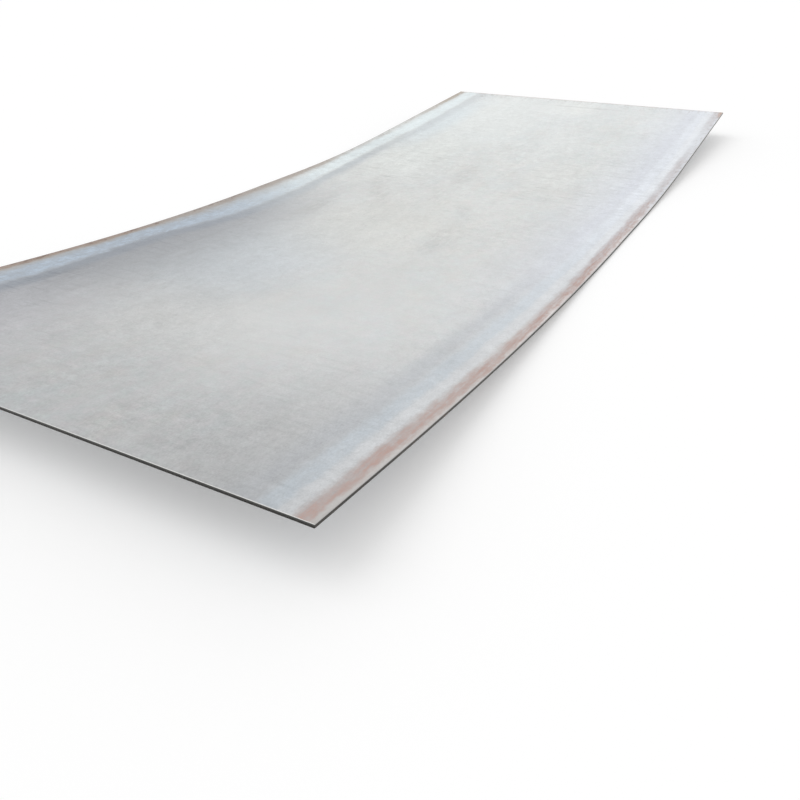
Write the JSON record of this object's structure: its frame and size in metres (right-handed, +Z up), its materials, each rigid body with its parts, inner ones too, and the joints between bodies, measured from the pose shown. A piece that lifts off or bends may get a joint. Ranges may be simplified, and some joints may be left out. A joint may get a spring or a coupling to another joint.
{
  "type": "steel plate",
  "caption": "Hot-rolled steel plate with rounded mill edges along its length and sheared ends, lying on a flat land and bowed up gently towards both ends.",
  "frame": {"origin": "centre of the flat land on the underside, where the plate rests on the floor; it is also the bottom centre of the plate's box", "axes": "+X across the plate's width, +Y along the rolling direction towards the end with the shorter bend, +Z up"},
  "size_m": [1.2192, 3.0407, 0.0936],
  "materials": {
    "hot_rolled_steel": "semi-gloss blue-grey mill scale, paler and bluer in bands along the long edges, with light, patchy rust along them and dull grey sheared ends under a thin bright lip"
  },
  "bodies": {
    "root": {"steel_plate": "hot_rolled_steel"}
  },
  "joints": []
}
